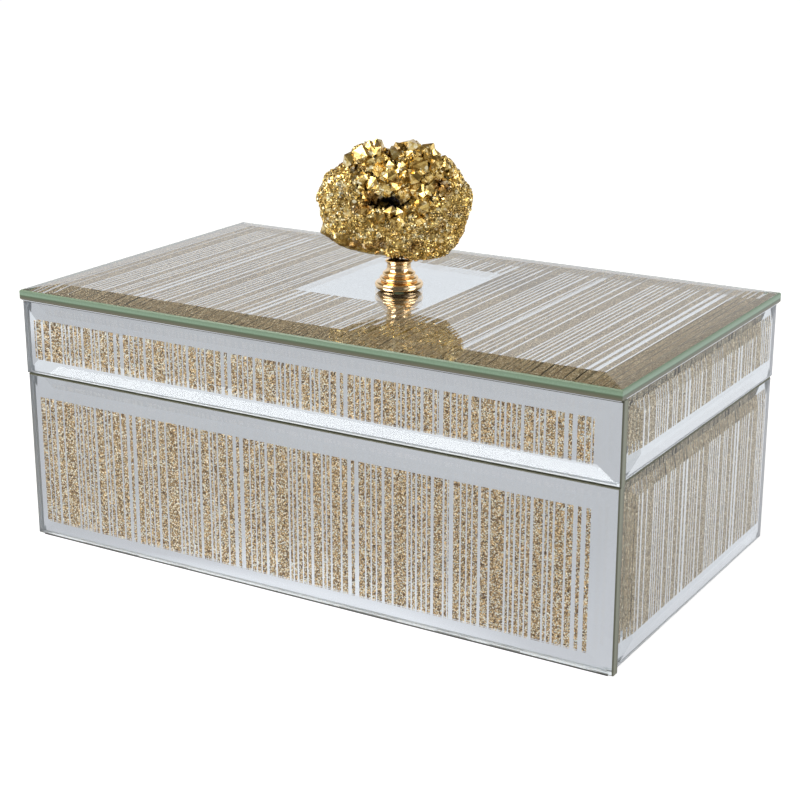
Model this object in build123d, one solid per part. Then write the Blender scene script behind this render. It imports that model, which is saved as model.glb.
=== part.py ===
"""Mirrored jewellery box: glass-clad board carcass, hinged lid and a gilt geode knob.

Millimetres. +X runs along the length, the front faces -Y and +Z is up.
The origin is the centre of the underside, on the surface that the box stands on.
"""
from build123d import *
import os

os.makedirs("parts", exist_ok=True)

# Outside of the box. The base is a little narrower than the lid on every side.
lid_length = 280.4
lid_depth = 162.6
base_step = 0.4
lid_top_z = 114.0
joint_z = 75.0

# Glass cladding: bevelled outer face, square edge, small ground arrises.
glass_thickness = 6.0
wall_bevel_depth = 1.5
front_upright_bevel_width = 9.0
end_upright_bevel_width = 12.0
level_bevel_width = 8.0
top_bevel_depth = 1.6
top_bevel_width = 12.0
arris = 0.5
glass_joint_gap = 0.4

# Mirror inlay sheets, glued in the space between glass and board.
inlay_thickness = 0.25
inlay_space = 0.35
inlay_margin = 0.6

# Board carcass.
wall_board_thickness = 5.0
bottom_board_thickness = 4.0
top_board_thickness = 5.0
felt_thickness = 0.8
felt_inset = 2.5

# Velvet linings, with a flange that wraps the rim of each wall board.
lining_thickness = 1.5
rim_flange_thickness = 1.25
rim_gap = 0.3
floor_pad_thickness = 5.0
pad_clearance = 0.3

# Stop hinges, let into the rims of the two back boards.
hinge_offset_x = 85.0
leaf_length = 28.0
leaf_thickness = 1.0
leaf_edge_inset = 0.5
knuckle_radius = 2.2
knuckle_count = 5
knuckle_gap = 0.3
leaf_knuckle_clearance = 0.4
barrel_standoff = 0.5
back_glass_setback = 0.2
notch_clearance = 0.2
pin_radius = 1.0
pin_grip_clearance = 0.01
pin_running_clearance = 0.06
pin_head_radius = 1.5
pin_head_height = 0.7
stop_angle = 95.0
stop_rail_drop = 1.0
stop_rail_thickness = 1.2
stop_rail_width = 1.5
stop_rail_clearance = 0.5
stop_tab_length = 4.2
stop_tab_thickness = 1.0
stop_tab_clearance = 0.2

# Hinge screws.
hinge_screw_spacing = 18.0
hinge_screw_length = 9.0
hinge_screw_radius = 1.0
hinge_screw_head_radius = 1.9
pilot_clearance = 0.02
recess_width = 0.5
recess_depth = 0.5

# Knob: turned stem, gilt geode, and the screw and washer that hold it from inside.
knob_screw_radius = 2.0
knob_screw_head_radius = 4.0
knob_screw_head_height = 2.2
knob_thread_depth = 9.0
knob_hole_clearance = 0.4
washer_radius = 5.0
washer_thickness = 0.6
counterbore_radius = 5.5
counterbore_depth = 3.0
stem_height = 12.3
spigot_radius = 3.0
spigot_height = 5.0
socket_clearance = 0.1
geode_thickness = 21.0
geode_face_scale = 0.82
geode_flank = 0.4
geode_turn = 30.0

# Derived sizes.
base_length = lid_length - 2 * base_step
base_depth = lid_depth - 2 * base_step
board_offset = glass_thickness + inlay_space
lining_offset = board_offset + wall_board_thickness
room_offset = lining_offset + lining_thickness
base_glass_top = joint_z - glass_joint_gap / 2
lid_glass_bottom = joint_z + glass_joint_gap / 2
base_rim_z = joint_z - rim_gap / 2
lid_rim_z = joint_z + rim_gap / 2
base_board_top = base_rim_z - rim_flange_thickness
lid_board_bottom = lid_rim_z + rim_flange_thickness
base_back_glass_top = base_board_top - back_glass_setback
lid_back_glass_bottom = lid_board_bottom + back_glass_setback
bottom_board_top = felt_thickness + bottom_board_thickness
top_glass_bottom = lid_top_z - glass_thickness
top_board_top = top_glass_bottom - inlay_space
top_board_bottom = top_board_top - top_board_thickness
hinge_axis_y = lid_depth / 2 + barrel_standoff + knuckle_radius
base_leaf_start = base_depth / 2 - lining_offset + leaf_edge_inset
lid_leaf_start = lid_depth / 2 - lining_offset + leaf_edge_inset
screw_y = {"base": base_depth / 2 - board_offset - wall_board_thickness / 2,
           "lid": lid_depth / 2 - board_offset - wall_board_thickness / 2}


def keep(shape, name):
    """Write one sub-part to its own STEP file."""
    shape.label = name
    export_step(shape, os.path.join("parts", name + ".step"))


def block(x_range, y_range, z_range):
    """Box between two limits on each axis."""
    size = [high - low for low, high in (x_range, y_range, z_range)]
    middle = [(low + high) / 2 for low, high in (x_range, y_range, z_range)]
    return Pos(*middle) * Box(*size)


def drill(radius, z_low, z_high, x=0, y=0):
    """Upright cylinder, used as a shank or to cut a hole."""
    return Pos(x, y, (z_low + z_high) / 2) * Cylinder(radius, z_high - z_low)


def wall_plane(side, length, depth):
    """Plane on the outer face of a wall: local +X along the wall, +Y up, +Z outwards."""
    outwards = {"front": (0, -1, 0), "back": (0, 1, 0), "left": (-1, 0, 0), "right": (1, 0, 0)}[side]
    along = (-outwards[1], outwards[0], 0)
    origin = (outwards[0] * length / 2, outwards[1] * depth / 2, 0)
    return Plane(origin=origin, x_dir=along, z_dir=outwards)


def bevelled_glass(width, height, bevel_depth, end_bevel, edge_bevel):
    """Glass plate with its bevelled outer face at z = 0 and its back below it."""
    sections = (
        (0, end_bevel, edge_bevel),
        (bevel_depth, arris, arris),
        (bevel_depth + arris, 0, 0),
        (glass_thickness - arris, 0, 0),
        (glass_thickness, arris, arris),
    )
    outlines = [Pos(0, 0, -depth) * Rectangle(width - 2 * end_inset, height - 2 * edge_inset)
                for depth, end_inset, edge_inset in sections]
    return loft(outlines, ruled=True)


def glass_span(side, length, depth):
    """Limits of a wall glass: the front runs full length, the ends butt behind it, the back fits between them."""
    if side == "front":
        return -length / 2, length / 2
    if side == "back":
        return board_offset - length / 2, length / 2 - board_offset
    if side == "right":
        return board_offset - depth / 2, depth / 2
    return -depth / 2, depth / 2 - board_offset


def wall_glass(side, length, depth, z_low, z_high):
    """Bevelled glass of one wall."""
    start, end = glass_span(side, length, depth)
    upright_bevel = front_upright_bevel_width if side in ("front", "back") else end_upright_bevel_width
    plate = bevelled_glass(end - start, z_high - z_low, wall_bevel_depth, upright_bevel, level_bevel_width)
    return wall_plane(side, length, depth) * Pos((start + end) / 2, (z_low + z_high) / 2, 0) * plate


def wall_inlay(side, length, depth, z_low, z_high):
    """Mirror sheet that backs the whole of one wall glass."""
    start, end = glass_span(side, length, depth)
    gap = (inlay_space - inlay_thickness) / 2
    front = -glass_thickness - gap
    sheet = block((start + inlay_margin, end - inlay_margin), (z_low + inlay_margin, z_high - inlay_margin),
                  (front - inlay_thickness, front))
    return wall_plane(side, length, depth) * sheet


def wall_board(side, length, depth, z_low, z_high):
    """Front and back boards run the full length of the carcass; the end boards stand between them."""
    if side in ("front", "back"):
        half = length / 2 - board_offset
    else:
        half = depth / 2 - board_offset - wall_board_thickness
    board = block((-half, half), (z_low, z_high), (-lining_offset, -board_offset))
    return wall_plane(side, length, depth) * board


def wall_lining(side, length, depth, z_far, z_rim):
    """Velvet-covered card on the inside of a wall, with a flange over the rim of its board."""
    if side in ("front", "back"):
        half = length / 2 - lining_offset
        flange_half = length / 2 - board_offset
    else:
        half = depth / 2 - room_offset
        flange_half = depth / 2 - lining_offset
    face = block((-half, half), sorted((z_far, z_rim)), (-room_offset, -lining_offset))
    flange_z = z_rim + (rim_flange_thickness if z_rim > joint_z else -rim_flange_thickness)
    flange = block((-flange_half, flange_half), sorted((flange_z, z_rim)), (-lining_offset, -board_offset))
    lining = face + flange
    if side == "back":
        for x in (-hinge_offset_x, hinge_offset_x):
            reach = leaf_length / 2 + notch_clearance
            lining -= block((x - reach, x + reach), sorted((flange_z, z_rim)), (-lining_offset, 0))
    return wall_plane(side, length, depth) * lining


def hinge_screw_places(part):
    """Centres of the four screws that hold the two leaves on one rim."""
    for hinge_x in (-hinge_offset_x, hinge_offset_x):
        for step in (-hinge_screw_spacing / 2, hinge_screw_spacing / 2):
            yield hinge_x + step, screw_y[part]


def pilot_holes(part, z_rim, direction):
    """Holes that the hinge screws bite into."""
    z_end = z_rim + direction * hinge_screw_length
    holes = [drill(hinge_screw_radius + pilot_clearance, min(z_rim, z_end), max(z_rim, z_end), x, y)
             for x, y in hinge_screw_places(part)]
    return Compound(holes)


def hinge_screw():
    """Countersunk screw with its head's flat top at z = 0 and its point below."""
    head = Pos(0, 0, -leaf_thickness / 2) * Cone(hinge_screw_radius, hinge_screw_head_radius, leaf_thickness)
    shank_end = -hinge_screw_length
    tip = hinge_screw_radius
    shank = drill(hinge_screw_radius, shank_end + tip, -leaf_thickness)
    point = Pos(0, 0, shank_end + tip / 2) * Cone(hinge_screw_radius / 4, hinge_screw_radius, tip)
    slot = Box(2 * hinge_screw_radius + recess_width, recess_width, 2 * recess_depth)
    return head + shank + point - slot - Rot(0, 0, 90) * slot


def hinge_screws(part, head_z, flip):
    """The four screws of one rim, as separate solids."""
    turn = Rot(180, 0, 0) if flip else Rot(0, 0, 0)
    return Compound([Pos(x, y, head_z) * turn * hinge_screw() for x, y in hinge_screw_places(part)])


def knuckle_range(index):
    """Start and end of one knuckle along the leaf."""
    length = (leaf_length - (knuckle_count - 1) * knuckle_gap) / knuckle_count
    start = -leaf_length / 2 + index * (length + knuckle_gap)
    return start, start + length


def barrel(radius, x_range):
    """Cylinder on the hinge axis."""
    length = x_range[1] - x_range[0]
    return Pos(sum(x_range) / 2, hinge_axis_y, joint_z) * Rot(0, 90, 0) * Cylinder(radius, length)


def hinge_leaf(part, centre_x):
    """One leaf: plate on the rim, its own knuckles on the axis, and its half of the stop."""
    own = range(0, knuckle_count, 2) if part == "base" else range(1, knuckle_count, 2)
    start_y = base_leaf_start if part == "base" else lid_leaf_start
    z_range = ((base_board_top, base_board_top + leaf_thickness) if part == "base"
               else (lid_board_bottom - leaf_thickness, lid_board_bottom))
    plate_end = hinge_axis_y - knuckle_radius - leaf_knuckle_clearance
    leaf = block((-leaf_length / 2, leaf_length / 2), (start_y, plate_end), z_range)
    for index in own:
        span = knuckle_range(index)
        leaf += block(span, (plate_end, hinge_axis_y), z_range)
        leaf += barrel(knuckle_radius, span)
        leaf += stop_arm(span) if part == "base" else stop_tab(span)
    if part == "base":
        leaf += stop_rail()
    bore = pin_radius + (pin_grip_clearance if part == "base" else pin_running_clearance)
    leaf -= barrel(bore, (-leaf_length, leaf_length))
    for step in (-hinge_screw_spacing / 2, hinge_screw_spacing / 2):
        sink = Cone(hinge_screw_radius, hinge_screw_head_radius, leaf_thickness)
        turn = Rot(0, 0, 0) if part == "base" else Rot(180, 0, 0)
        leaf -= Pos(step, screw_y[part], sum(z_range) / 2) * turn * sink
    return Pos(centre_x, 0, 0) * leaf


def stop_rail():
    """Rail behind the barrel, which the lid's tabs land on when the lid is open."""
    rail_start = hinge_axis_y + knuckle_radius + stop_rail_clearance
    z_top = joint_z - stop_rail_drop
    return block((-leaf_length / 2, leaf_length / 2), (rail_start, rail_start + stop_rail_width),
                 (z_top - stop_rail_thickness, z_top))


def stop_arm(span):
    """Arm that ties the rail to one of the base leaf's knuckles."""
    rail_start = hinge_axis_y + knuckle_radius + stop_rail_clearance
    z_top = joint_z - stop_rail_drop
    return block(span, (hinge_axis_y + pin_head_radius, rail_start), (z_top - stop_rail_thickness, z_top))


def stop_tab(span):
    """Tab on a lid knuckle, modelled where it meets the rail and turned back to the closed lid."""
    z_low = -stop_rail_drop + stop_tab_clearance
    tab = block(span, (pin_head_radius, stop_tab_length), (z_low, z_low + stop_tab_thickness))
    return Pos(0, hinge_axis_y, joint_z) * Rot(stop_angle, 0, 0) * tab


def hinge_pin(centre_x):
    """Headed pin through all the knuckles."""
    half = leaf_length / 2
    pin = barrel(pin_radius, (-half, half))
    pin += barrel(pin_head_radius, (-half - pin_head_height, -half))
    pin += barrel(pin_head_radius, (half, half + pin_head_height))
    return Pos(centre_x, 0, 0) * pin


def knob_stem():
    """Turned stem: wide foot, two stepped rings, neck, and the spigot that the geode is glued on."""
    foot, step, ring, neck, collar = 10.2, 8.2, 7.0, 5.2, 5.8
    profile = [
        (0, 0), (8.6, 0), (foot, 1.0), (foot, 2.0), (9.2, 2.8), (7.6, 3.2), (step, 3.7), (step, 4.9),
        (6.6, 5.4), (ring, 5.9), (ring, 7.2), (5.6, 8.0), (neck, 9.0), (neck, 10.8), (collar, 11.3),
        (collar, stem_height), (spigot_radius, stem_height), (spigot_radius, stem_height + spigot_height),
        (0, stem_height + spigot_height),
    ]
    outline = make_face(Polyline(*[(x, 0, z) for x, z in profile], close=True))
    stem = revolve(outline, Axis.Z)
    stem -= drill(knob_screw_radius, 0, knob_thread_depth)
    return Pos(0, 0, lid_top_z) * stem


def knob_geode():
    """Slab of gilt geode, standing on its edge and turned a little from the front."""
    flat = 7.0
    rim = [(flat, 0), (21, 1.5), (24, 8), (29, 17), (31.5, 26), (28, 36), (20, 44), (8, 50), (-3, 49),
           (-14, 49.5), (-24, 42), (-33, 32), (-34.5, 20), (-31, 10), (-19, 3.5), (-flat, 0)]
    centre_z = 26.0
    layers = []
    for depth, scale in ((-1, geode_face_scale), (-geode_flank, 1), (geode_flank, 1), (1, geode_face_scale)):
        points = [(x * scale, centre_z + (z - centre_z) * scale, depth * geode_thickness / 2) for x, z in rim]
        layers.append(make_face(Curve() + [Spline(*points), Line(points[-1], points[0])]))
    slab = loft(layers, ruled=True)
    slab = Rot(0, 0, geode_turn) * Rot(90, 0, 0) * slab
    socket = drill(spigot_radius + socket_clearance, 0, spigot_height + socket_clearance)
    return Pos(0, 0, lid_top_z + stem_height) * (slab - socket)


def knob_fixings():
    """Screw and washer in the counterbore under the lid's top board."""
    seat_z = top_board_bottom + counterbore_depth
    washer_z = seat_z - washer_thickness
    washer = drill(washer_radius, washer_z, seat_z)
    washer -= drill(knob_screw_radius + knob_hole_clearance, washer_z, seat_z)
    screw_top = lid_top_z + knob_thread_depth - knob_hole_clearance
    head = drill(knob_screw_head_radius, washer_z - knob_screw_head_height, washer_z)
    screw = head + drill(knob_screw_radius, washer_z, screw_top)
    slot_bottom = washer_z - knob_screw_head_height
    slot = Pos(0, 0, slot_bottom) * Box(knob_screw_head_radius, 1.0, 2.0)
    screw -= slot + Rot(0, 0, 90) * slot
    return screw, washer


def make_base():
    """Everything that stays still when the lid opens."""
    half_length = base_length / 2 - felt_inset
    half_depth = base_depth / 2 - felt_inset
    keep(block((-half_length, half_length), (-half_depth, half_depth), (0, felt_thickness)), "base_felt")
    board_half_length = base_length / 2 - board_offset
    board_half_depth = base_depth / 2 - board_offset
    keep(block((-board_half_length, board_half_length), (-board_half_depth, board_half_depth),
               (felt_thickness, bottom_board_top)), "base_bottom_board")
    for side in ("front", "back", "left", "right"):
        glass_top = base_back_glass_top if side == "back" else base_glass_top
        board = wall_board(side, base_length, base_depth, bottom_board_top, base_board_top)
        if side == "back":
            board -= pilot_holes("base", base_board_top, -1)
        keep(board, f"base_{side}_board")
        keep(wall_glass(side, base_length, base_depth, felt_thickness, glass_top), f"base_{side}_glass")
        keep(wall_inlay(side, base_length, base_depth, felt_thickness, glass_top), f"base_{side}_inlay")
        keep(wall_lining(side, base_length, base_depth, bottom_board_top, base_rim_z), f"base_{side}_lining")
    pad_half_length = base_length / 2 - room_offset - pad_clearance
    pad_half_depth = base_depth / 2 - room_offset - pad_clearance
    pad = block((-pad_half_length, pad_half_length), (-pad_half_depth, pad_half_depth),
                (bottom_board_top, bottom_board_top + floor_pad_thickness))
    keep(chamfer(pad.faces().sort_by(Axis.Z)[-1].edges(), pad_clearance), "base_floor_pad")


def make_lid():
    """The hinged lid, without its knob."""
    half_length = lid_length / 2 - board_offset
    half_depth = lid_depth / 2 - board_offset
    knob_hole = knob_screw_radius + knob_hole_clearance
    top_board = block((-half_length, half_length), (-half_depth, half_depth), (top_board_bottom, top_board_top))
    top_board -= drill(knob_hole, top_board_bottom, top_board_top)
    top_board -= drill(counterbore_radius, top_board_bottom, top_board_bottom + counterbore_depth)
    keep(top_board, "lid_top_board")
    plate = bevelled_glass(lid_length, lid_depth, top_bevel_depth, top_bevel_width, top_bevel_width)
    top_glass = Pos(0, 0, lid_top_z) * plate
    keep(top_glass - drill(knob_hole, top_glass_bottom, lid_top_z), "lid_top_glass")
    gap = (inlay_space - inlay_thickness) / 2
    sheet = block((-lid_length / 2 + inlay_margin, lid_length / 2 - inlay_margin),
                  (-lid_depth / 2 + inlay_margin, lid_depth / 2 - inlay_margin),
                  (top_board_top + gap, top_glass_bottom - gap))
    keep(sheet - drill(knob_hole, top_board_top, top_glass_bottom), "lid_top_inlay")
    for side in ("front", "back", "left", "right"):
        glass_bottom = lid_back_glass_bottom if side == "back" else lid_glass_bottom
        board = wall_board(side, lid_length, lid_depth, lid_board_bottom, top_board_bottom)
        if side == "back":
            board -= pilot_holes("lid", lid_board_bottom, 1)
        keep(board, f"lid_{side}_board")
        keep(wall_glass(side, lid_length, lid_depth, glass_bottom, top_board_top), f"lid_{side}_glass")
        keep(wall_inlay(side, lid_length, lid_depth, glass_bottom, top_board_top), f"lid_{side}_inlay")
        keep(wall_lining(side, lid_length, lid_depth, top_board_bottom, lid_rim_z), f"lid_{side}_lining")
    lining_half_length = lid_length / 2 - room_offset - pad_clearance
    lining_half_depth = lid_depth / 2 - room_offset - pad_clearance
    keep(block((-lining_half_length, lining_half_length), (-lining_half_depth, lining_half_depth),
               (top_board_bottom - lining_thickness, top_board_bottom)), "lid_top_lining")


def make_hinges():
    """Two stop hinges with their pins and screws."""
    for side, centre_x in (("left", -hinge_offset_x), ("right", hinge_offset_x)):
        keep(hinge_leaf("base", centre_x), f"{side}_hinge_base_leaf")
        keep(hinge_leaf("lid", centre_x), f"{side}_hinge_lid_leaf")
        keep(hinge_pin(centre_x), f"{side}_hinge_pin")
    keep(hinge_screws("base", base_board_top + leaf_thickness, False), "base_hinge_screws")
    keep(hinge_screws("lid", lid_board_bottom - leaf_thickness, True), "lid_hinge_screws")


def make_knob():
    """Knob parts, all fixed to the lid."""
    screw, washer = knob_fixings()
    keep(knob_stem(), "knob_stem")
    keep(knob_geode(), "knob_geode")
    keep(screw, "knob_screw")
    keep(washer, "knob_washer")


make_base()
make_lid()
make_hinges()
make_knob()
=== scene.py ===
import math
import random

import bmesh
import bpy
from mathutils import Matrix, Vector, noise


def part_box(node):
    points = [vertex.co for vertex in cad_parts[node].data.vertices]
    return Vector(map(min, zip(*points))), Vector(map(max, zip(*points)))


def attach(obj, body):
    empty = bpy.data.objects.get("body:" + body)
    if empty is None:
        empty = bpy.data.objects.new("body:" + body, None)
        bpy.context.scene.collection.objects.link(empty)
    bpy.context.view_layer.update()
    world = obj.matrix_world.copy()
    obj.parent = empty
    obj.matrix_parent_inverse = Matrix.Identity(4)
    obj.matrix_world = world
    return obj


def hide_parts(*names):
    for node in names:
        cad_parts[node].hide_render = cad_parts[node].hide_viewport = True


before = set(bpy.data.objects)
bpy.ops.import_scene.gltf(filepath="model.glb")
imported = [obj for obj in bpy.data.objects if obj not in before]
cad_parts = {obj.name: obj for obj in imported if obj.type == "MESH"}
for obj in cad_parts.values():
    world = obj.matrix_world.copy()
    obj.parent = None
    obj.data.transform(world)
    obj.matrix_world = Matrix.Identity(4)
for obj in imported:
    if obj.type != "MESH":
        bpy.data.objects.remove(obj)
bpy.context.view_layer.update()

MM = 0.001
FACING = {"front": "Y", "back": "Y", "left": "X", "right": "X", "top": "Z"}
BOND = 0.03 * MM


# ---------------------------------------------------------------- node helpers
class Graph:
    """A material's node tree, written as nested calls."""

    def __init__(self, name):
        self.material = bpy.data.materials.new(name)
        self.material.use_nodes = True
        self.tree = self.material.node_tree
        self.tree.nodes.clear()
        self.output = self.tree.nodes.new("ShaderNodeOutputMaterial")
        source = self.tree.nodes.new("ShaderNodeTexCoord")
        self.coords = source.outputs["Object"]
        self.face_normal = source.outputs["Normal"]
        split = self.node("ShaderNodeSeparateXYZ", Vector=self.coords)
        self.x, self.y, self.z = split.outputs

    def node(self, kind, settings=None, **inputs):
        made = self.tree.nodes.new(kind)
        for key, value in (settings or {}).items():
            setattr(made, key, value)
        for key, value in inputs.items():
            self.feed(made.inputs[key.replace("_", " ")], value)
        return made

    def feed(self, socket, value):
        if isinstance(value, bpy.types.NodeSocket):
            self.tree.links.new(value, socket)
        else:
            socket.default_value = value

    def math(self, operation, a, b=None, c=None):
        made = self.tree.nodes.new("ShaderNodeMath")
        made.operation = operation
        for socket, value in zip(made.inputs, (a, b, c)):
            if value is not None:
                self.feed(socket, value)
        return made.outputs[0]

    def vector(self, operation, a, b=None):
        made = self.tree.nodes.new("ShaderNodeVectorMath")
        made.operation = operation
        self.feed(made.inputs[0], a)
        if b is not None:
            self.feed(made.inputs[1], b)
        return made.outputs[0]

    def mix(self, factor, a, b):
        made = self.node("ShaderNodeMix", {"data_type": "RGBA"})
        self.feed(made.inputs[0], factor)
        self.feed(made.inputs[6], a)
        self.feed(made.inputs[7], b)
        return made.outputs[2]

    def between(self, factor, low, high):
        """Number from low to high as factor goes from 0 to 1."""
        made = self.node("ShaderNodeMapRange", Value=factor)
        self.feed(made.inputs["To Min"], low)
        self.feed(made.inputs["To Max"], high)
        return made.outputs[0]

    def window(self, value, low, high):
        """1 where low < value < high, else 0."""
        above = self.math("GREATER_THAN", value, low)
        below = self.math("LESS_THAN", value, high)
        return self.math("MULTIPLY", above, below)

    def ramp(self, factor, stops, steps=False):
        made = self.node("ShaderNodeValToRGB", Fac=factor)
        ramp = made.color_ramp
        ramp.interpolation = "CONSTANT" if steps else "LINEAR"
        while len(ramp.elements) < len(stops):
            ramp.elements.new(0.5)
        for element, (position, colour) in zip(ramp.elements, stops):
            element.position = position
            element.color = (*colour, 1)
        return made.outputs[0]

    def noise(self, scale, detail=2.0, roughness=0.5, vector=None):
        return self.node("ShaderNodeTexNoise", Vector=vector or self.coords, Scale=scale, Detail=detail,
                         Roughness=roughness).outputs["Fac"]

    def voronoi(self, scale, vector=None):
        return self.node("ShaderNodeTexVoronoi", Vector=vector or self.coords, Scale=scale)

    def bump(self, height, distance, strength=1.0):
        return self.node("ShaderNodeBump", Height=height, Distance=distance, Strength=strength).outputs[0]

    def blend_shaders(self, factor, first, second):
        made = self.node("ShaderNodeMixShader", Fac=factor)
        self.tree.links.new(first, made.inputs[1])
        self.tree.links.new(second, made.inputs[2])
        return made.outputs[0]

    def finish(self, surface, volume=None):
        self.tree.links.new(surface, self.output.inputs["Surface"])
        if volume is not None:
            self.tree.links.new(volume, self.output.inputs["Volume"])
        return self.material


def principled(graph, **inputs):
    return graph.node("ShaderNodeBsdfPrincipled", **inputs).outputs[0]


def set_material(piece, material):
    piece.data.materials.clear()
    piece.data.materials.append(material)


# ---------------------------------------------------------------- glass
GLASS_THICKNESS = 6 * MM
GLASS_IOR = 1.5
# A face is a ground edge where its normal leans less than this along the pane's own axis.
EDGE_LIMIT = 0.8
WORN_EDGE = (0.10, 0.11, 0.07, 1)
# Tone of the wall panes' edges for light that meets them from inside the glass: a pale painted brightness,
# much lighter than the same edge seen from outside.
EDGE_INSIDE_PAINTED_BRIGHTNESS = (0.64, 0.66, 0.70, 1)
# Colour of the ground edges through the glass, from the outer face to the back. The green and olive tint is
# the glass's own; the light and dark bands by depth are painted reflection and painted shade.
EDGE_TINT_WITH_PAINTED_BANDS = {
    "top": [(0.27, (0.20, 0.31, 0.20)), (0.60, (0.30, 0.45, 0.31)), (0.68, (0.10, 0.15, 0.08)),
            (0.82, (0.14, 0.14, 0.09)), (0.95, (0.22, 0.20, 0.14))],
    "wall": [(0.3, (0.12, 0.12, 0.08)), (0.55, (0.24, 0.25, 0.16)), (0.85, (0.18, 0.18, 0.11)),
             (1.0, (0.06, 0.06, 0.04))],
}


def glass_material(name, facing):
    """Clear float glass. Its narrow edges, which don't face along the facing axis, are ground."""
    graph = Graph(name)
    smears = graph.noise(60, 3)
    glass = graph.node("ShaderNodeBsdfGlass", Color=(1, 1, 1, 1), IOR=GLASS_IOR,
                       Roughness=graph.between(smears, 0.0, 0.004)).outputs[0]
    clear = graph.node("ShaderNodeBsdfTransparent", Color=(0.98, 0.99, 0.985, 1)).outputs[0]
    shadow = graph.node("ShaderNodeLightPath").outputs["Is Shadow Ray"]
    polished = graph.blend_shaders(shadow, glass, clear)
    axis = "XYZ".index(facing)
    normal = graph.node("ShaderNodeSeparateXYZ", Vector=graph.face_normal).outputs[axis]
    edge = graph.math("LESS_THAN", graph.math("ABSOLUTE", normal), EDGE_LIMIT)
    outer_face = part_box("lid_top_glass")[1][axis]
    place = graph.math("ABSOLUTE", (graph.x, graph.y, graph.z)[axis])
    depth = graph.math("DIVIDE", graph.math("SUBTRACT", outer_face, place), GLASS_THICKNESS)
    grit = graph.noise(1500, 3)
    # The edge's tone by depth holds painted reflection and painted shade over the glass's own green.
    tone = graph.ramp(depth, EDGE_TINT_WITH_PAINTED_BANDS["top" if facing == "Z" else "wall"])
    colour = graph.mix(graph.math("MULTIPLY", grit, 0.5), tone, WORN_EDGE)
    roughness = 0.25
    grain = 1.0
    if facing != "Z":
        inside = graph.node("ShaderNodeNewGeometry").outputs["Backfacing"]
        # From inside the glass the edge shows this paler painted brightness instead of its own dark tone.
        colour = graph.mix(inside, colour, EDGE_INSIDE_PAINTED_BRIGHTNESS)
        roughness = graph.between(inside, 0.25, 0.9)
        grain = graph.between(inside, 1.0, 0.0)
    ground = principled(graph, Base_Color=colour, Roughness=roughness,
                        Normal=graph.bump(grit, 0.05 * MM, grain))
    tint = graph.node("ShaderNodeVolumeAbsorption", Color=(0.0, 0.75, 0.50, 1), Density=2.0).outputs[0]
    return graph.finish(graph.blend_shaders(edge, polished, ground), tint)


# ---------------------------------------------------------------- mirror inlay
# One repeat of the stripe design: glitter band, then the mirror line after it, in millimetres.
STRIPE_UNIT = [
    (6.0, 0.9), (1.0, 0.7), (1.3, 0.9), (1.6, 0.7), (1.4, 0.8), (1.4, 1.3), (4.0, 0.9), (1.0, 0.6),
    (1.5, 1.0), (3.8, 0.8), (2.7, 1.8), (1.5, 1.8), (2.8, 0.7), (1.9, 0.7), (1.7, 0.8), (2.1, 1.2),
    (3.4, 0.7),
]
# Where a repeat starts on each panel, in millimetres along its stripes' axis.
STRIPE_STARTS = {
    "base_front": -67.0, "lid_front": -71.5, "lid_top": -70.3, "base_side": -49.5, "lid_side": -51.9,
}
# The film along the length is in two strips: past the seam the repeat jumps on.
SEAM_FROM_START = 135.3
SEAM_JUMP = 12.8
# Flakes from dark to bright, by the axis a panel faces. The front and back are richer than the rest: the
# darker, duller side and top palettes are painted shade on the same film, and the near-white stops at the top
# are painted glints.
GLITTER_TONES_WITH_PAINTED_SHADE = {
    "y": [(0.0, (0.06, 0.03, 0.01)), (0.22, (0.18, 0.10, 0.04)), (0.50, (0.50, 0.34, 0.17)),
          (0.72, (0.76, 0.56, 0.31)), (0.80, (1.0, 0.95, 0.78)), (1.0, (1.0, 1.0, 0.98))],
    "x": [(0.0, (0.09, 0.062, 0.03)), (0.30, (0.26, 0.19, 0.105)), (0.60, (0.44, 0.335, 0.20)),
          (0.82, (0.63, 0.52, 0.35)), (0.92, (0.92, 0.82, 0.63)), (1.0, (1.0, 0.97, 0.85))],
    "z": [(0.0, (0.07, 0.042, 0.016)), (0.30, (0.21, 0.147, 0.075)), (0.60, (0.33, 0.245, 0.14)),
          (0.82, (0.46, 0.36, 0.23)), (0.92, (0.68, 0.57, 0.40)), (1.0, (0.95, 0.88, 0.7))],
}
FLAKE_SIZE = {"x": 0.34 * MM, "y": 0.42 * MM, "z": 0.30 * MM}
FLAKE_METALLIC = 0.45
FLAKE_ROUGHNESS = 0.42


def stripe_mask(graph, along, start, seam):
    """1 on a glitter band, 0 on a mirror line. Two ramps share one repeat, because a ramp holds 32 stops."""
    period = sum(band + line for band, line in STRIPE_UNIT)
    place = graph.math("SUBTRACT", along, start * MM)
    if seam:
        past = graph.math("GREATER_THAN", place, SEAM_FROM_START * MM)
        place = graph.math("ADD", place, graph.math("MULTIPLY", past, SEAM_JUMP * MM))
    phase = graph.math("FRACT", graph.math("ADD", graph.math("DIVIDE", place, period * MM), 4.0))
    half = len(STRIPE_UNIT) // 2
    shares = []
    position = 0.0
    for part in (STRIPE_UNIT[:half], STRIPE_UNIT[half:]):
        stops = [(0.0, (0, 0, 0))]
        for band, line in part:
            stops.append((position / period, (1, 1, 1)))
            stops.append(((position + band) / period, (0, 0, 0)))
            position += band + line
        shares.append(graph.ramp(phase, stops, steps=True))
    return graph.math("MAXIMUM", *shares)


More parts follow.
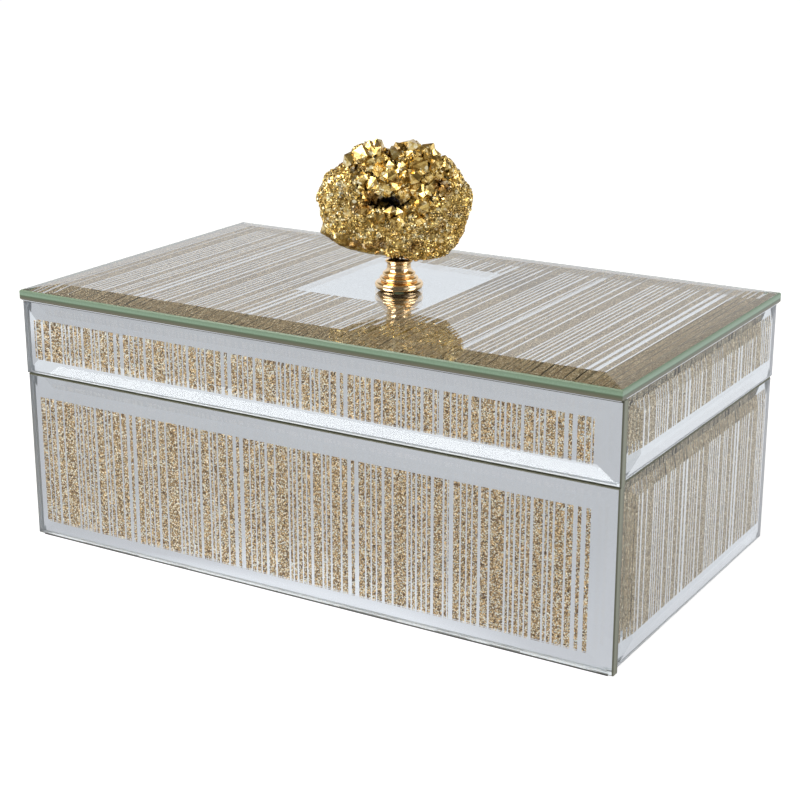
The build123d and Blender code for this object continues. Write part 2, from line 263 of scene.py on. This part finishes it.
def inlay_material(name, facing, along, start, windows, clear=None):
    """Silvered sheet with bands of glitter. windows and clear give ranges in metres on the graph's axes."""
    graph = Graph(name)
    axes = {"x": graph.x, "y": graph.y, "z": graph.z}
    mask = stripe_mask(graph, axes[along], start, along == "x")
    for axis, (low, high) in windows.items():
        mask = graph.math("MULTIPLY", mask, graph.window(axes[axis], low, high))
    if clear:
        hole = 1.0
        for axis, (low, high) in clear.items():
            hole = graph.math("MULTIPLY", hole, graph.window(axes[axis], low, high))
        mask = graph.math("MULTIPLY", mask, graph.math("SUBTRACT", 1.0, hole))
    flakes = graph.voronoi(1 / FLAKE_SIZE[facing])
    shade = graph.node("ShaderNodeSeparateColor", Color=flakes.outputs["Color"]).outputs
    # The palette by facing holds painted shade on the sides and top, and painted glints in its brightest
    # stops.
    glitter = graph.ramp(shade[0], GLITTER_TONES_WITH_PAINTED_SHADE[facing])
    tilt = graph.vector("SUBTRACT", flakes.outputs["Color"], (0.5, 0.5, 0.5))
    geometry = graph.node("ShaderNodeNewGeometry").outputs["Normal"]
    flake_normal = graph.vector("NORMALIZE", graph.vector("ADD", geometry, tilt))
    normal = graph.mix(mask, geometry, flake_normal)
    silver = graph.mix(graph.noise(25, 3), (0.83, 0.84, 0.86, 1), (0.88, 0.89, 0.90, 1))
    surface = principled(
        graph, Base_Color=graph.mix(mask, silver, glitter),
        Metallic=graph.between(mask, 1.0, FLAKE_METALLIC),
        Roughness=graph.between(mask, 0.0, FLAKE_ROUGHNESS), Normal=normal)
    return graph.finish(surface)


# ---------------------------------------------------------------- plain materials
def metal_material(name, colour, dark, roughness):
    graph = Graph(name)
    wear = graph.noise(180, 4)
    lathe = graph.noise(2500, 1, vector=graph.node("ShaderNodeCombineXYZ", Z=graph.z).outputs[0])
    surface = principled(
        graph, Base_Color=graph.mix(wear, (*dark, 1), (*colour, 1)), Metallic=1.0,
        Roughness=graph.between(wear, roughness, roughness + 0.08), Normal=graph.bump(lathe, 0.02 * MM, 0.3))
    return graph.finish(surface)


def board_material():
    graph = Graph("fibreboard")
    fibres = graph.noise(900, 5, 0.7)
    blotches = graph.noise(40, 2)
    base = graph.mix(fibres, (0.30, 0.20, 0.11, 1), (0.62, 0.47, 0.30, 1))
    surface = principled(graph, Base_Color=graph.mix(blotches, base, (0.50, 0.37, 0.23, 1)), Roughness=0.85,
                         Normal=graph.bump(fibres, 0.15 * MM))
    return graph.finish(surface)


def velvet_material(name, deep, light):
    graph = Graph(name)
    pile = graph.noise(4000, 2)
    nap = graph.noise(30, 3)
    colour = graph.mix(nap, (*deep, 1), (*light, 1))
    surface = principled(graph, Base_Color=colour, Roughness=0.9, Sheen_Weight=0.8, Sheen_Roughness=0.4,
                         Normal=graph.bump(pile, 0.12 * MM))
    return graph.finish(surface)


# ---------------------------------------------------------------- camera, stage and light
def aim(piece, place, target):
    direction = Vector(target) - Vector(place)
    piece.location = place
    piece.rotation_euler = direction.to_track_quat("-Z", "Y").to_euler()


CAMERA_PLACE = (0.3802, -0.6327, 0.2982)
CAMERA_AZIMUTH = math.radians(30.97)
CAMERA_ELEVATION = math.radians(17.62)
CAMERA_LENS = 80.38


def add_camera():
    camera = bpy.data.objects.new("camera", bpy.data.cameras.new("camera"))
    bpy.context.scene.collection.objects.link(camera)
    camera.data.lens = CAMERA_LENS
    camera.data.sensor_width = 36
    level = math.cos(CAMERA_ELEVATION)
    back = Vector((math.sin(CAMERA_AZIMUTH) * level, -math.cos(CAMERA_AZIMUTH) * level,
                   math.sin(CAMERA_ELEVATION)))
    place = Vector(CAMERA_PLACE)
    aim(camera, place, place - back)
    bpy.context.scene.camera = camera


# The table's glow as the glass sees it, by distance from its middle in units of half a metre: painted light,
# darker near the box as painted shade.
FLOOR_PAINTED_GLOW_TONES = [(0.20, (0.93, 0.95, 1.0)), (0.27, (0.68, 0.69, 0.73)), (0.40, (0.60, 0.61, 0.64)),
               (0.90, (0.60, 0.61, 0.64)), (1.0, (0.86, 0.88, 0.92))]
# Towards the right and the back that tone goes over to this brighter one, painted light, between these
# distances in metres.
FLOOR_RIGHT_PAINTED_GLOW = (0.86, 0.88, 0.92, 1)
RIGHTWARDS = (0.8, 0.6, 0)
RIGHT_FROM = 0.02
RIGHT_FULL = 0.25


def add_floor():
    """Pale studio table: near white to the camera, and in the tones above to the glass. For all but camera
    rays it is a glowing surface, painted light with painted shade near the box, which also lights the box.
    """
    bpy.ops.mesh.primitive_plane_add(size=14, location=(0, 0, 0))
    floor = bpy.context.object
    floor.name = "studio_floor"
    graph = Graph("studio_floor")
    seen = graph.node("ShaderNodeLightPath").outputs["Is Camera Ray"]
    mottled = graph.between(graph.noise(3, 2), 0.97, 1.0)
    paper = graph.node("ShaderNodeBsdfDiffuse", Color=(0.35, 0.35, 0.35, 1)).outputs[0]
    strength = graph.math("MULTIPLY", mottled, 0.92)
    shine = graph.node("ShaderNodeEmission", Color=(1, 1, 1, 1), Strength=strength).outputs[0]
    pale = graph.node("ShaderNodeAddShader").outputs[0]
    graph.tree.links.new(paper, pale.node.inputs[0])
    graph.tree.links.new(shine, pale.node.inputs[1])
    away = graph.node("ShaderNodeVectorMath", {"operation": "LENGTH"}, Vector=graph.coords).outputs["Value"]
    painted_glow_sweep = graph.ramp(graph.math("MULTIPLY", away, 2.0), FLOOR_PAINTED_GLOW_TONES)
    right = graph.node("ShaderNodeVectorMath", {"operation": "DOT_PRODUCT"}, Vector=graph.coords)
    right.inputs[1].default_value = RIGHTWARDS
    rightwards = graph.node("ShaderNodeMapRange", {"interpolation_type": "SMOOTHSTEP"},
                            Value=right.outputs["Value"])
    graph.feed(rightwards.inputs["From Min"], RIGHT_FROM)
    graph.feed(rightwards.inputs["From Max"], RIGHT_FULL)
    # Painted light: the floor glows for all but camera rays, darker near the box as painted shade and
    # brighter to the right and back.
    painted_glow_colour = graph.mix(rightwards.outputs[0], painted_glow_sweep, FLOOR_RIGHT_PAINTED_GLOW)
    glow = graph.node("ShaderNodeEmission", Color=painted_glow_colour).outputs[0]
    set_material(floor, graph.finish(graph.blend_shaders(seen, glow, pale)))


def add_lamp(name, place, target, size, power, colour=(1, 1, 1)):
    lamp = bpy.data.objects.new(name, bpy.data.lights.new(name, "AREA"))
    bpy.context.scene.collection.objects.link(lamp)
    lamp.data.shape = "RECTANGLE"
    lamp.data.size, lamp.data.size_y = size
    lamp.data.energy = power
    lamp.data.color = colour
    aim(lamp, place, target)


DARK_CURTAIN = (0.42, -0.87, 0.25)
CURTAIN_COLOUR = (0.10, 0.10, 0.10, 1)
CEILING_COLOUR = (0.22, 0.185, 0.13, 1)
FRONT_TO_BACK = (-0.35, 0.94, 0.0)
# The room by direction: its walls from front to back, then how far the dim ceiling has taken over by height.
WALL_TONES = [(0.0, (0.70, 0.71, 0.75)), (0.25, (0.90, 0.92, 0.96))]
CEILING_SHARE = [(0.30, (0, 0, 0)), (0.50, (1, 1, 1))]


def world_ramp(tree, direction, axis, stops):
    """Tone by how far a direction leans towards the axis."""
    towards = tree.nodes.new("ShaderNodeVectorMath")
    towards.operation = "DOT_PRODUCT"
    towards.inputs[1].default_value = axis
    tree.links.new(direction, towards.inputs[0])
    ramp = tree.nodes.new("ShaderNodeValToRGB")
    for element, (position, colour) in zip(ramp.color_ramp.elements, stops):
        element.position = position
        element.color = (*colour, 1)
    tree.links.new(towards.outputs["Value"], ramp.inputs[0])
    return ramp.outputs[0]


def world_mix(tree, share, tone, colour):
    """The tone, and as share goes to 1 the colour."""
    made = tree.nodes.new("ShaderNodeMix")
    made.data_type = "RGBA"
    tree.links.new(share, made.inputs[0])
    tree.links.new(tone, made.inputs[6])
    made.inputs[7].default_value = colour
    return made.outputs[2]


def add_light():
    """A room with pale walls, a dim warm ceiling and a dark curtain at the front, and two soft lamps."""
    world = bpy.data.worlds.new("studio")
    bpy.context.scene.world = world
    world.use_nodes = True
    tree = world.node_tree
    background = tree.nodes["Background"]
    direction = tree.nodes.new("ShaderNodeTexCoord").outputs["Generated"]
    walls = world_ramp(tree, direction, FRONT_TO_BACK, WALL_TONES)
    ceiling = world_ramp(tree, direction, (0, 0, 1), CEILING_SHARE)
    curtain = world_ramp(tree, direction, DARK_CURTAIN, [(0.80, (0, 0, 0)), (0.90, (1, 1, 1))])
    room = world_mix(tree, ceiling, walls, CEILING_COLOUR)
    tree.links.new(world_mix(tree, curtain, room, CURTAIN_COLOUR), background.inputs["Color"])
    background.inputs["Strength"].default_value = 1.0
    middle = (0, 0, 0.08)
    add_lamp("key", (-0.8, -1.1, 1.3), middle, (1.2, 1.2), 28, (1.0, 0.98, 0.95))
    add_lamp("right", (1.5, 0.3, 1.0), middle, (1.0, 1.2), 12)


# ---------------------------------------------------------------- shapes
def new_piece(name, mesh, material):
    piece = bpy.data.objects.new(name, mesh)
    bpy.context.scene.collection.objects.link(piece)
    set_material(piece, material)
    return piece


def mesh_from(name, build, smooth=False):
    mesh = bpy.data.meshes.new(name)
    build.normal_update()
    build.to_mesh(mesh)
    build.free()
    for polygon in mesh.polygons:
        polygon.use_smooth = smooth
    return mesh


def stand_for(piece, body, slot, *nodes):
    """The piece takes the place of CAD nodes on one body."""
    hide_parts(*nodes)
    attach(piece, body)


def apply_modifiers(piece):
    graph = bpy.context.evaluated_depsgraph_get()
    graph.update()
    mesh = bpy.data.meshes.new_from_object(piece.evaluated_get(graph), depsgraph=graph)
    piece.modifiers.clear()
    piece.data = mesh


# ---------------------------------------------------------------- knob stem
GLASS_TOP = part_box("lid_top_glass")[1][2]


def arc(start, end, bulge, steps=10):
    """Points (radius, height) from start to end of a moulding that swells by bulge (hollows if negative)."""
    for step in range(steps + 1):
        turn = math.pi * step / steps
        share = (1 - math.cos(turn)) / 2
        radius = start[0] + (end[0] - start[0]) * share + bulge * math.sin(turn)
        yield radius, start[1] + (end[1] - start[1]) * share


def stem_profile():
    """Radius and height in millimetres, from the foot up to the collar."""
    yield 0.0, 0.0
    yield from arc((9.2, 0.0), (9.4, 3.0), 1.0)
    yield from arc((8.6, 3.15), (7.5, 3.4), -0.15, 4)
    yield from arc((7.4, 3.6), (7.3, 5.2), 0.9)
    yield from arc((6.6, 5.35), (6.3, 5.6), -0.15, 4)
    yield from arc((6.2, 5.75), (6.0, 7.3), 0.9)
    yield from arc((5.9, 7.45), (5.1, 9.6), -0.25, 8)
    yield from arc((5.1, 9.9), (5.3, 11.2), -0.1, 6)
    yield from arc((5.4, 11.3), (5.4, 12.3), 0.45, 8)
    yield 0.0, 12.3


def add_stem():
    profile = list(stem_profile())
    build = bmesh.new()
    steps = 96
    rings = []
    for radius, height in profile:
        z = GLASS_TOP + height * MM
        if radius == 0:
            rings.append([build.verts.new((0, 0, z))])
            continue
        ring = []
        for step in range(steps):
            turn = math.tau * step / steps
            ring.append(build.verts.new((radius * MM * math.cos(turn), radius * MM * math.sin(turn), z)))
        rings.append(ring)
    for lower, upper in zip(rings, rings[1:]):
        for step in range(steps):
            after = (step + 1) % steps
            if len(lower) == 1:
                build.faces.new((lower[0], upper[after], upper[step]))
            elif len(upper) == 1:
                build.faces.new((lower[step], lower[after], upper[0]))
            else:
                build.faces.new((lower[step], lower[after], upper[after], upper[step]))
    stem = new_piece("knob_turned_stem", mesh_from("knob_turned_stem", build, True), stem_material())
    stand_for(stem, "lid", "polished_brass", "knob_stem")


def stem_material():
    graph = Graph("polished_brass")
    rings = graph.noise(1800, 1, vector=graph.node("ShaderNodeCombineXYZ", Z=graph.z).outputs[0])
    tarnish = graph.noise(260, 3)
    surface = principled(
        graph, Base_Color=graph.mix(tarnish, (0.86, 0.58, 0.31, 1), (0.97, 0.76, 0.47, 1)), Metallic=1.0,
        Roughness=graph.between(tarnish, 0.04, 0.12), Normal=graph.bump(rings, 0.01 * MM, 0.3))
    return graph.finish(surface)


# ---------------------------------------------------------------- knob geode
# The slab's outline from the front in millimetres: across from the stem's axis, and up from the lid's glass.
GEODE_OUTLINE = [
    (0, 12.3), (9, 12.5), (16, 12.9), (21, 14.4), (23.2, 18), (27, 23), (29, 28), (30, 32.5), (31.6, 37.5),
    (30, 44), (26, 50.4), (22, 54.4), (17.3, 57.7), (14, 61), (7.3, 63.3), (2, 63.6), (-1.4, 62),
    (-3.2, 58.7), (-6.2, 60.2), (-7.5, 63), (-14, 62.5), (-18.5, 60), (-22, 54.4), (-29, 50), (-32, 47),
    (-33.7, 41), (-35.4, 38.8), (-34, 36.5), (-33.1, 28.5), (-34, 23.5), (-27, 19.3), (-19.6, 16), (-8.5, 13),
]
GEODE_CENTRE = (-2.0, 37.0)
GEODE_HALF = 10.0
GEODE_FOOT = 12.3
SMALL_CRYSTALS = 10500
GEODE_TURN = math.radians(30)
CAVITY = (-3.0, 38.5)
CAVITY_RADII = (8.5, 3.4)
# Large crystals on the front: across, up, radius, in millimetres.
LARGE_CRYSTALS = [
    (5.0, 59.5, 4.2), (-0.6, 58.0, 3.2), (12.0, 58.0, 3.2), (15.2, 54.0, 3.0), (9.6, 52.5, 3.8),
    (12.6, 48.6, 3.2), (7.0, 48.4, 3.2), (-9.5, 60.0, 3.4), (-15.6, 57.4, 3.6), (-20.0, 54.4, 3.0),
    (-8.2, 52.0, 3.4), (-11.0, 45.5, 3.4), (-4.0, 48.6, 3.6), (-1.4, 44.4, 3.0), (1.4, 41.6, 4.0),
    (6.6, 43.4, 3.2), (13.0, 43.6, 2.8), (-3.4, 34.4, 2.8), (1.2, 33.6, 2.6), (-14.0, 35.0, 2.2),
    (9.8, 36.6, 3.4), (-0.6, 29.8, 3.0), (-8.4, 31.6, 2.6), (9.0, 30.6, 2.4), (-7.4, 41.8, 2.2),
]


def geode_spokes():
    """The slab's reach in millimetres for each whole degree of turn."""
    corners = [Vector(corner) - Vector(GEODE_CENTRE) for corner in GEODE_OUTLINE]
    spokes = []
    for degree in range(360):
        ray = Vector((math.cos(math.radians(degree)), math.sin(math.radians(degree))))
        reach = 0.0
        for first, second in zip(corners, corners[1:] + corners[:1]):
            side = second - first
            turn = ray.cross(side)
            if abs(turn) < 1e-9:
                continue
            along, share = first.cross(side) / turn, first.cross(ray) / turn
            if along > 0 and 0 <= share <= 1:
                reach = max(reach, along)
        spokes.append(reach)
    return spokes


GEODE_SPOKES = geode_spokes()


def geode_reach(angle):
    """Distance from the slab's centre to its outline, in millimetres."""
    turn = math.degrees(angle) % 360
    before = int(turn) % 360
    share = turn - int(turn)
    return GEODE_SPOKES[before] * (1 - share) + GEODE_SPOKES[(before + 1) % 360] * share


def coarse_share(across, up):
    """1 where the crystals are large, 0 where they are fine."""
    away = math.hypot((across - 1.0) / 20.0, (up - 50.0) / 17.0)
    return max(0.0, min(1.0, (1.15 - away) / 0.3))


def cavity_share(across, up):
    """1 inside the dark hollow in the front, 0 away from it."""
    away = math.hypot((across - CAVITY[0]) / CAVITY_RADII[0], (up - CAVITY[1]) / CAVITY_RADII[1])
    return max(0.0, min(1.0, (1.3 - away) / 0.5))


def geode_surface(direction):
    """Slab coordinates (across, out, up) in millimetres for a direction on the unit sphere."""
    spread = math.hypot(direction.x, direction.z)
    angle = math.atan2(direction.z, direction.x)
    reach = geode_reach(angle) * spread ** 0.85
    across = GEODE_CENTRE[0] + reach * math.cos(angle)
    up = GEODE_CENTRE[1] + reach * math.sin(angle)
    out = math.copysign(abs(direction.y) ** 0.6, direction.y) * GEODE_HALF
    place = Vector((across, out, up))
    lumps = noise.noise(place * 0.13) * 1.5 + noise.noise(place * 0.4) * 0.6
    inset = 0.9 + 2.6 * coarse_share(across, up)
    place -= direction * (inset - lumps)
    if out > 0:
        place.y -= 6.5 * cavity_share(across, up)
    place.z = max(place.z, GEODE_FOOT)
    return place


def to_frame(place):
    """From slab coordinates in millimetres to the frame in metres."""
    facing = Vector((math.sin(GEODE_TURN), -math.cos(GEODE_TURN), 0))
    sideways = Vector((math.cos(GEODE_TURN), math.sin(GEODE_TURN), 0))
    return (sideways * place.x + facing * place.y) * MM + Vector((0, 0, GLASS_TOP + place.z * MM))


def add_crystal(build, base, axis, radius, height, sides, sink):
    """Closed crystal: a short prism with a lopsided point, its root sunk in the body."""
    axis = axis.normalized()
    side = axis.orthogonal().normalized()
    other = axis.cross(side)
    start = random.uniform(0, math.tau)
    rings = []
    for level in (-sink, height * 0.45):
        ring = []
        for step in range(sides):
            turn = start + math.tau * step / sides
            out = (side * math.cos(turn) + other * math.sin(turn)) * radius
            tip_drop = random.uniform(-0.25, 0.25) * radius if level > 0 else 0
            ring.append(build.verts.new(to_frame(base + out + axis * (level + tip_drop))))
        rings.append(ring)
    lean = (side * random.uniform(-0.4, 0.4) + other * random.uniform(-0.4, 0.4)) * radius
    tip = build.verts.new(to_frame(base + axis * height + lean))
    root = build.verts.new(to_frame(base - axis * (sink + radius * 0.3)))
    for step in range(sides):
        after = (step + 1) % sides
        build.faces.new((rings[0][step], rings[1][step], rings[1][after]))
        build.faces.new((rings[0][step], rings[1][after], rings[0][after]))
        build.faces.new((rings[1][step], tip, rings[1][after]))
        build.faces.new((rings[0][after], root, rings[0][step]))


def geode_body():
    """The slab as a lumpy ball, still in slab coordinates."""
    build = bmesh.new()
    bmesh.ops.create_icosphere(build, subdivisions=6, radius=1)
    for vertex in build.verts:
        vertex.co = geode_surface(vertex.co.normalized())
    build.normal_update()
    return build


def add_geode():
    random.seed(7)
    body = geode_body()
    faces = [face for face in body.faces if face.calc_center_median().z > 12.9]
    crystals = bmesh.new()
    for face in random.choices(faces, [face.calc_area() for face in faces], k=SMALL_CRYSTALS):
        base = face.calc_center_median()
        if is_smooth_rim(base) or (base.y > 0 and cavity_share(base.x, base.z) > 0.5):
            continue
        coarse = coarse_share(base.x, base.z) * (1.0 if base.y > 1 else 0.5)
        if coarse > 0.4 and random.random() < 0.72:
            continue
        axis = face.normal + Vector(random.uniform(-1, 1) for _ in range(3)) * (0.4 + 0.4 * coarse)
        radius = random.uniform(0.34, 0.68) + coarse * random.uniform(0.5, 2.2)
        height = radius * random.uniform(0.8, 1.3 + coarse * 0.5)
        add_crystal(crystals, base, axis, radius, height, random.choice((4, 5, 6)), radius)
    for across, up, radius in LARGE_CRYSTALS:
        face = min((face for face in faces if face.normal.y > 0.2),
                   key=lambda face: (face.calc_center_median().xz - Vector((across, up))).length)
        base = face.calc_center_median()
        axis = face.normal + Vector((random.uniform(-0.5, 0.5), 0.3, random.uniform(-0.2, 0.7)))
        base -= face.normal * 0.9
        add_crystal(crystals, base, axis, radius * 1.15, radius * 1.6, random.choice((4, 5, 6)), radius)
    for vertex in body.verts:
        vertex.co = to_frame(vertex.co)
    bmesh.ops.reverse_faces(body, faces=body.faces)
    material = geode_material()
    slab = new_piece("geode_body", mesh_from("geode_body", body, True), material)
    druse = new_piece("geode_crystals", mesh_from("geode_crystals", crystals), material)
    stand_for(slab, "lid", "gilt_geode", "knob_geode")
    stand_for(druse, "lid", "gilt_geode", "knob_geode")


def is_smooth_rim(place):
    """The bare underside of the slab, low on its left."""
    slope = place.z - (13.4 + (-8.0 - place.x) * 0.434)
    return -35 < place.x < -5 and slope < 4.4


GOLD_TONES = [(0.0, (0.40, 0.27, 0.08)), (0.4, (0.70, 0.51, 0.17)), (0.75, (0.92, 0.72, 0.31)),
              (1.0, (1.0, 0.95, 0.68))]
PATINA_TONES = [(0.32, (0.55, 0.45, 0.40)), (0.5, (1.0, 1.0, 1.0)), (0.72, (1.0, 0.86, 0.66))]
CREVICE_PAINTED_SHADE = (0.08, 0.052, 0.018, 1)
HOLLOW_PAINTED_SHADE = (0.012, 0.010, 0.012, 1)


def geode_material():
    """Gilt crystals: each grain its own gold, with painted shade in the crevices and in the hollow."""
    graph = Graph("gilt_geode")
    patches = graph.noise(110, 3)
    grain = graph.voronoi(1 / (1.3 * MM))
    shade = graph.node("ShaderNodeSeparateColor", Color=grain.outputs["Color"]).outputs[0]
    gold = graph.ramp(shade, GOLD_TONES)
    patina = graph.ramp(patches, PATINA_TONES)
    colour = graph.node("ShaderNodeMix", {"data_type": "RGBA", "blend_type": "MULTIPLY"})
    graph.feed(colour.inputs[0], 1.0)
    graph.feed(colour.inputs[6], gold)
    graph.feed(colour.inputs[7], patina)
    # Painted shade: the hollow in the front is coloured near black by place, around its middle.
    middle = to_frame(Vector((CAVITY[0], GEODE_HALF - 5, CAVITY[1])))
    away = graph.vector("DIVIDE", graph.vector("SUBTRACT", graph.coords, middle), (9 * MM, 9 * MM, 4.5 * MM))
    length = graph.node("ShaderNodeVectorMath", {"operation": "LENGTH"})
    graph.feed(length.inputs[0], away)
    open_share = graph.ramp(length.outputs["Value"], [(0.55, (0, 0, 0)), (0.95, (1, 1, 1))])
    shown = graph.mix(open_share, HOLLOW_PAINTED_SHADE, colour.outputs[2])
    # Painted shade: ambient occlusion darkens the crevices on top of the real shadows.
    occlusion_amount = graph.node("ShaderNodeAmbientOcclusion", {"samples": 6}, Distance=3.5 * MM).outputs["AO"]
    lit_share = graph.ramp(occlusion_amount, [(0.15, (0, 0, 0)), (0.55, (1, 1, 1))])
    shown = graph.mix(lit_share, CREVICE_PAINTED_SHADE, shown)
    grit = graph.noise(1400, 4)
    surface = principled(
        graph, Base_Color=shown, Metallic=1.0, Roughness=graph.between(graph.noise(300, 2), 0.18, 0.34),
        Normal=graph.bump(grit, 0.06 * MM, 0.5))
    return graph.finish(surface)


# ---------------------------------------------------------------- soft pieces
def copy_of(node, name, material):
    return new_piece(name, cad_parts[node].data.copy(), material)


def soften(node, name, body, slot, material, edge=0.5 * MM, cell=6 * MM, wobble=0.12 * MM):
    """Cloth-covered copy of a flat CAD piece, with rounded edges and a slightly uneven face."""
    piece = copy_of(node, name, material)
    build = bmesh.new()
    build.from_mesh(piece.data)
    bmesh.ops.remove_doubles(build, verts=build.verts, dist=0.001 * MM)
    bmesh.ops.dissolve_limit(build, angle_limit=math.radians(2), verts=build.verts, edges=build.edges)
    low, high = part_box(node)
    for axis in range(3):
        cuts = int((high[axis] - low[axis]) / cell)
        for cut in range(1, cuts + 1):
            place = [0, 0, 0]
            place[axis] = low[axis] + (high[axis] - low[axis]) * cut / (cuts + 1)
            normal = [0, 0, 0]
            normal[axis] = 1
            bmesh.ops.bisect_plane(build, geom=build.verts[:] + build.edges[:] + build.faces[:],
                                   plane_co=place, plane_no=normal)
    build.to_mesh(piece.data)
    build.free()
    bevel = piece.modifiers.new("edges", "BEVEL")
    bevel.width = edge
    bevel.segments = 3
    bevel.angle_limit = math.radians(40)
    apply_modifiers(piece)
    for vertex in piece.data.vertices:
        push = noise.noise(vertex.co / (14 * MM)) * wobble
        inside = min(min(vertex.co[axis] - low[axis], high[axis] - vertex.co[axis]) for axis in range(3))
        vertex.co += vertex.normal * min(push, max(inside, 0) + wobble)
    for polygon in piece.data.polygons:
        polygon.use_smooth = True
    stand_for(piece, body, slot, node)
    return piece


def add_linings(velvet, felt):
    for body in ("base", "lid"):
        for side in ("front", "back", "left", "right"):
            soften(f"{body}_{side}_lining", f"{body}_{side}_velvet", body, "velvet", velvet, edge=0.35 * MM)
    soften("lid_top_lining", "lid_top_velvet", "lid", "velvet", velvet)
    soften("base_felt", "base_felt_sheet", "base", "felt", felt, edge=0.2 * MM, wobble=0.03 * MM)


CUSHION_CELL = 2.4 * MM
CLOTH_PRESSURE = 4
CLOTH_FRAMES = 20
SIDEWAYS_CAP = 0.25 * MM
UPWARDS_CAP = 1.8 * MM


def add_floor_cushion(material):
    """Thin padded cushion in the bottom of the box, blown up as cloth."""
    node = "base_floor_pad"
    piece = copy_of(node, "floor_cushion", material)
    remesh = piece.modifiers.new("even", "REMESH")
    remesh.mode = "VOXEL"
    remesh.voxel_size = CUSHION_CELL
    apply_modifiers(piece)
    before = [vertex.co.copy() for vertex in piece.data.vertices]
    cloth = piece.modifiers.new("cloth", "CLOTH")
    cloth.settings.use_pressure = True
    cloth.settings.uniform_pressure_force = CLOTH_PRESSURE
    cloth.settings.effector_weights.gravity = 0
    cloth.settings.quality = 5
    scene = bpy.context.scene
    for step in range(1, CLOTH_FRAMES + 1):
        scene.frame_set(step)
    apply_modifiers(piece)
    scene.frame_set(1)
    for vertex, start in zip(piece.data.vertices, before):
        move = vertex.co - start
        for axis in (0, 1):
            move[axis] = max(-SIDEWAYS_CAP, min(SIDEWAYS_CAP, move[axis]))
        move.z = max(0.0, min(UPWARDS_CAP, move.z))
        vertex.co = start + move
    smooth = piece.modifiers.new("finer", "SUBSURF")
    smooth.levels = 1
    apply_modifiers(piece)
    for polygon in piece.data.polygons:
        polygon.use_smooth = True
    stand_for(piece, "base", "velvet", node)


# ---------------------------------------------------------------- build
def dress_frame():
    """Materials on the CAD nodes whose shape is right."""
    glass = {axis: glass_material("clear_glass_" + axis.lower(), axis) for axis in "XYZ"}
    board = board_material()
    steel = metal_material("plated_steel", (0.74, 0.73, 0.70), (0.50, 0.49, 0.47), 0.25)
    hinge = metal_material("hinge_brass", (0.80, 0.60, 0.32), (0.60, 0.42, 0.20), 0.22)
    for name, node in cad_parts.items():
        if name.endswith("_glass"):
            set_material(node, glass[FACING[name.split("_")[1]]])
        elif name.endswith("_board"):
            set_material(node, board)
        elif name.endswith("_screws") or name in ("knob_screw", "knob_washer"):
            set_material(node, steel)
        elif "hinge" in name:
            set_material(node, hinge)


def box_mesh(name, low, high):
    """Closed box between two corners."""
    mesh = bpy.data.meshes.new(name)
    build = bmesh.new()
    bmesh.ops.create_cube(build, size=1)
    for vertex in build.verts:
        for axis in range(3):
            vertex.co[axis] = low[axis] if vertex.co[axis] < 0 else high[axis]
    build.to_mesh(mesh)
    build.free()
    piece = bpy.data.objects.new(name, mesh)
    bpy.context.scene.collection.objects.link(piece)
    return piece


# Clear margins of the film on each glass, in millimetres: start and end along it, bottom and top.
FRONT_MARGINS = {"base": (4.6, 12.0, 6.5, 10.6), "lid": (4.6, 12.0, 6.8, 8.9)}
SIDE_MARGINS = (4.0, 4.0, 8.5, 5.0)
TOP_MARGIN = 1.5
# The plain mirror patch round the knob, in metres on the frame's axes.
CLEAR_PATCH = {"x": (-39 * MM, 23 * MM), "y": (-21.5 * MM, 48.5 * MM)}


def add_inlay(part, side, margins, clear=None):
    """Sheet bonded to the back of one glass, so it reaches a hair into it."""
    node = f"{part}_{side}_inlay"
    low, high = (list(corner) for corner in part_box(node))
    glass_low, glass_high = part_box(f"{part}_{side}_glass")
    axis = "XYZ".index(FACING[side])
    if side in ("front", "left"):
        low[axis] = glass_high[axis] - BOND
    else:
        high[axis] = glass_low[axis] + BOND
    sheet = box_mesh(f"{part}_{side}_mirror_sheet", low, high)
    along = "y" if side in ("left", "right") else "x"
    across = "y" if side == "top" else "z"
    start, end, bottom, top = (margin * MM for margin in margins)
    run, rise = "xyz".index(along), "xyz".index(across)
    windows = {along: (glass_low[run] + start, glass_high[run] - end),
               across: (glass_low[rise] + bottom, glass_high[rise] - top)}
    panel = {"left": "side", "right": "side", "back": "front"}.get(side, side)
    repeat = STRIPE_STARTS[f"{part}_{panel}"]
    set_material(sheet, inlay_material(node, FACING[side].lower(), along, repeat, windows, clear))
    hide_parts(node)
    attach(sheet, part)


def add_inlays():
    for part in ("base", "lid"):
        for side in ("front", "back"):
            add_inlay(part, side, FRONT_MARGINS[part])
        for side in ("left", "right"):
            add_inlay(part, side, SIDE_MARGINS)
    add_inlay("lid", "top", (TOP_MARGIN,) * 4, CLEAR_PATCH)


bpy.context.scene.view_settings.view_transform = "Standard"
add_camera()
add_floor()
add_light()
dress_frame()
add_inlays()
add_stem()
add_geode()
velvet = velvet_material("velvet", (0.012, 0.011, 0.013), (0.035, 0.032, 0.036))
felt = velvet_material("felt", (0.010, 0.010, 0.011), (0.03, 0.03, 0.032))
add_linings(velvet, felt)
add_floor_cushion(velvet)
